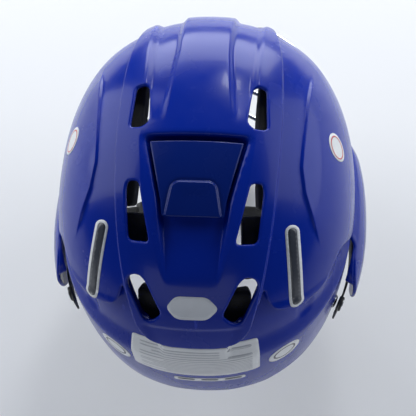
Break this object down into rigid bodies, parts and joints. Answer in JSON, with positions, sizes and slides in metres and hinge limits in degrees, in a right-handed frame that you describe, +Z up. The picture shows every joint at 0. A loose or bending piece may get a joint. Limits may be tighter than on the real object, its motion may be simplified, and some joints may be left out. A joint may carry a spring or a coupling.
{
  "type": "ice hockey helmet with wire cage",
  "caption": "Ice hockey helmet with a sliding two-piece shell, crown latch lever, foam liner, ear guards, chin strap and a swing-up wire face cage.",
  "frame": {"origin": "centre of the wearer's head, in the middle of the dome's widest section", "axes": "+Z up, the face looks along -Y, +X to the wearer's left"},
  "size_m": [0.2258, 0.2852, 0.2656],
  "materials": {
    "gloss_blue": "polished injection-moulded plastic",
    "lever_blue": "glossy moulded plastic",
    "black_foam": "closed-cell foam",
    "comfort_foam": "soft skinned foam",
    "rubber": "matte",
    "black_plastic": "fine moulded texture",
    "clear_plastic": "clear polycarbonate",
    "steel_wire": "bright plated wire",
    "screw_steel": "turned and plated",
    "webbing": "woven nylon"
  },
  "bodies": {
    "front": {"front_shell": "gloss_blue", "latch_pin": "screw_steel", "forehead_liner": "black_foam", "brow_comfort_band": "comfort_foam", "brow_bumper": "rubber", "chin_strap_left": "webbing", "chin_strap_right": "webbing", "chin_strap_middle": "webbing", "chin_buckle": "black_plastic", "brow_clip_screw_left": "screw_steel", "brow_clip_screw_right": "screw_steel", "side_hook_screw_left": "screw_steel", "side_hook_screw_right": "screw_steel", "ear_guard_screw_left": "screw_steel", "ear_guard_screw_right": "screw_steel", "crown_liner_left": "black_foam", "crown_liner_right": "black_foam", "front_side_liner_left": "black_foam", "front_side_liner_right": "black_foam", "crown_side_liner_left": "black_foam", "crown_side_liner_right": "black_foam", "crown_rear_liner_left": "black_foam", "crown_rear_liner_right": "black_foam", "ear_guard_left": "clear_plastic", "ear_guard_right": "clear_plastic", "brow_clip_left": "black_plastic", "brow_clip_right": "black_plastic", "side_hook_left": "black_plastic", "side_hook_right": "black_plastic"},
    "rear": {"rear_shell": "gloss_blue", "size_strip": "black_plastic", "rear_liner": "black_foam", "nape_pad": "comfort_foam", "snap_stud_left": "screw_steel", "snap_stud_right": "screw_steel", "side_liner_left": "black_foam", "side_liner_right": "black_foam", "rear_side_liner_left": "black_foam", "rear_side_liner_right": "black_foam"},
    "cage": {"cage_wire": "steel_wire", "chin_cup": "black_plastic", "chin_cup_pad": "comfort_foam", "cage_strap_left": "webbing", "cage_strap_right": "webbing", "snap_cap_left": "black_plastic", "snap_cap_right": "black_plastic"},
    "lever": {"latch_lever": "lever_blue", "clamp_block": "black_plastic", "clamp_pad": "rubber"}
  },
  "joints": [
    {"name": "size_slide", "type": "hinge", "parent": "front", "child": "rear", "pos_m": [0, 0.01635, 0.0015], "axis": [-1, 0, 0], "range_deg": [0, 5]},
    {"name": "latch_hinge", "type": "hinge", "parent": "front", "child": "lever", "pos_m": [0, 0.02381, 0.10606], "axis": [1, 0, 0], "range_deg": [0, 75]},
    {"name": "cage_hinge", "type": "hinge", "parent": "front", "child": "cage", "pos_m": [0, -0.134, 0.017], "axis": [-1, 0, 0], "range_deg": [0, 100]}
  ]
}
